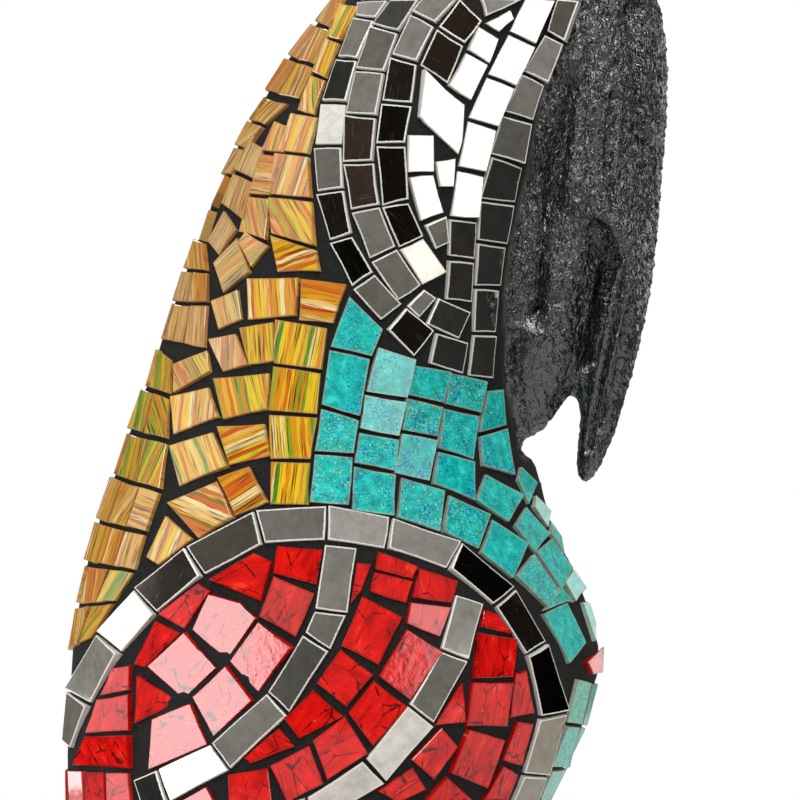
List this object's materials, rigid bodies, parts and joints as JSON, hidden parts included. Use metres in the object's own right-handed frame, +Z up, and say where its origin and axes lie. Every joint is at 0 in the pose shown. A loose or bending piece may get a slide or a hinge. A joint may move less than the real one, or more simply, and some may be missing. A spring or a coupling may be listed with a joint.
{
  "type": "mosaic bird bust",
  "caption": "Free-standing bird bust: carved black hooked bill, body covered in mirror, striped amber, turquoise and red glass mosaic, cut flat below",
  "frame": {"origin": "on the flat underside, at the middle of the area that stands on the table", "axes": "+X the way the bill points, +Z up to the crown, -Y the bird's right side"},
  "size_m": [0.1576, 0.1046, 0.2497],
  "materials": {
    "black_carving": "rough carved wood and cement bed under satin black paint",
    "nape_glass": "polished opaque art glass, streaked orange, yellow and green",
    "throat_glass": "polished opaque turquoise glass with blue and sand speckles",
    "wing_glass": "polished opaque red glass with dark cracks and streaks",
    "mirror_glass": "hand-cut silvered mirror with chipped white rims"
  },
  "bodies": {
    "root": {"carved_body": "black_carving", "crown_and_nape_tiles": "nape_glass", "throat_and_breast_tiles": "throat_glass", "wing_tiles_left_1": "wing_glass", "wing_tiles_left_2": "wing_glass", "wing_tiles_right_1": "wing_glass", "wing_tiles_right_2": "wing_glass", "cheek_tiles_left": "mirror_glass", "cheek_tiles_right": "mirror_glass", "band_mirror_left_1": "mirror_glass", "band_mirror_left_10": "mirror_glass", "band_mirror_left_11": "mirror_glass", "band_mirror_left_12": "mirror_glass", "band_mirror_left_2": "mirror_glass", "band_mirror_left_3": "mirror_glass", "band_mirror_left_4": "mirror_glass", "band_mirror_left_5": "mirror_glass", "band_mirror_left_6": "mirror_glass", "band_mirror_left_7": "mirror_glass", "band_mirror_left_8": "mirror_glass", "band_mirror_left_9": "mirror_glass", "band_mirror_right_1": "mirror_glass", "band_mirror_right_10": "mirror_glass", "band_mirror_right_11": "mirror_glass", "band_mirror_right_12": "mirror_glass", "band_mirror_right_2": "mirror_glass", "band_mirror_right_3": "mirror_glass", "band_mirror_right_4": "mirror_glass", "band_mirror_right_5": "mirror_glass", "band_mirror_right_6": "mirror_glass", "band_mirror_right_7": "mirror_glass", "band_mirror_right_8": "mirror_glass", "band_mirror_right_9": "mirror_glass", "feather_mirror_left_1_1": "mirror_glass", "feather_mirror_left_1_2": "mirror_glass", "feather_mirror_left_1_3": "mirror_glass", "feather_mirror_left_1_4": "mirror_glass", "feather_mirror_left_1_5": "mirror_glass", "feather_mirror_left_2_1": "mirror_glass", "feather_mirror_left_2_2": "mirror_glass", "feather_mirror_left_2_3": "mirror_glass", "feather_mirror_left_2_4": "mirror_glass", "feather_mirror_left_2_5": "mirror_glass", "feather_mirror_right_1_1": "mirror_glass", "feather_mirror_right_1_2": "mirror_glass", "feather_mirror_right_1_3": "mirror_glass", "feather_mirror_right_1_4": "mirror_glass", "feather_mirror_right_1_5": "mirror_glass", "feather_mirror_right_2_1": "mirror_glass", "feather_mirror_right_2_2": "mirror_glass", "feather_mirror_right_2_3": "mirror_glass", "feather_mirror_right_2_4": "mirror_glass", "feather_mirror_right_2_5": "mirror_glass"}
  },
  "joints": []
}
